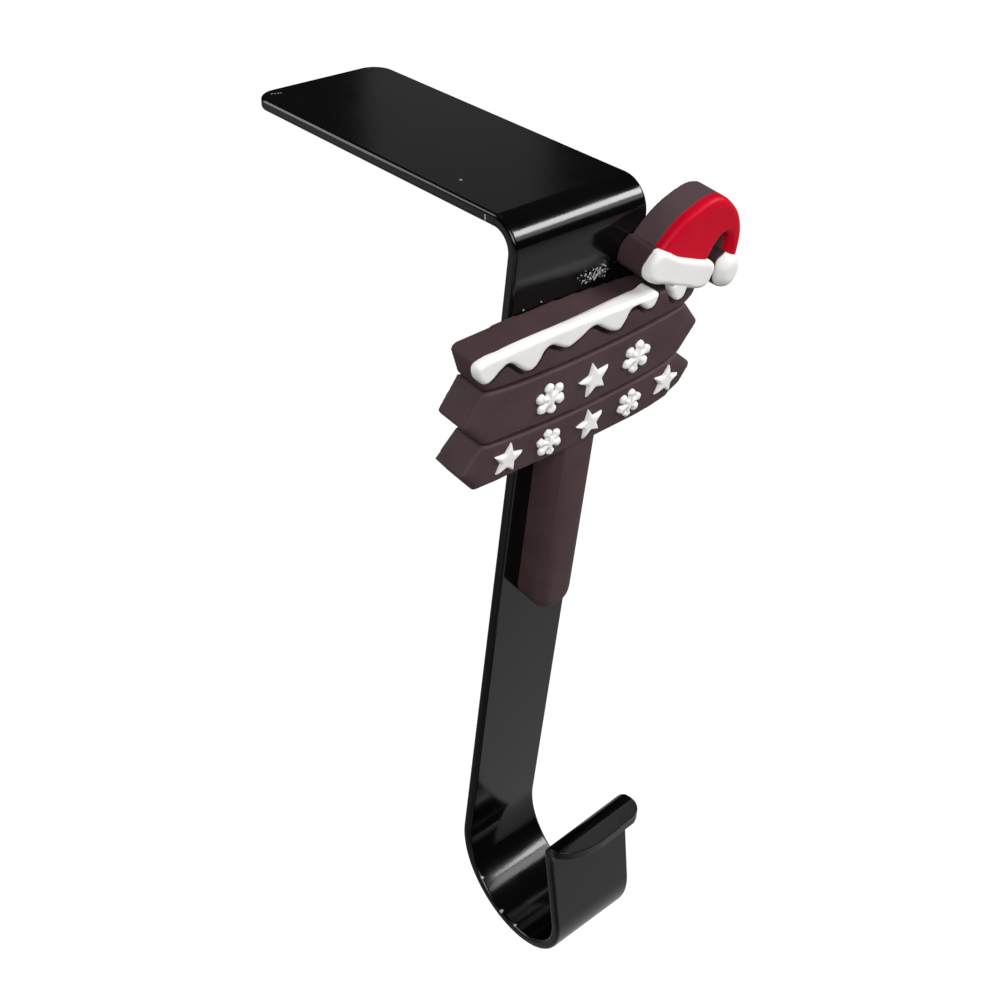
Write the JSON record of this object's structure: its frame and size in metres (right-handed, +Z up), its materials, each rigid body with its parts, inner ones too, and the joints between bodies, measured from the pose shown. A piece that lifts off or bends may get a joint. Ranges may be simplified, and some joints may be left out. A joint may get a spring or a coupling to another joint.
{
  "type": "mantel stocking holder",
  "caption": "Bent steel strip that lies over a mantel's edge and ends in a J hook for a stocking, with a moulded snowy signpost and Santa hat on its front.",
  "frame": {"origin": "middle of the pad's resting face, on the mantel's top", "axes": "+Z up, -Y towards the room that the sign faces, +X to the right as seen from the room"},
  "size_m": [0.0555, 0.0844, 0.1511],
  "materials": {
    "black_paint": "gloss black paint",
    "brown_pvc": "matt soft PVC",
    "white_pvc": "matt soft PVC",
    "red_pvc": "matt soft PVC",
    "black_foam": "matt foam"
  },
  "bodies": {
    "root": {"hook_strip": "black_paint", "sign_moulding": "brown_pvc", "grip_pad": "black_foam"}
  },
  "joints": []
}
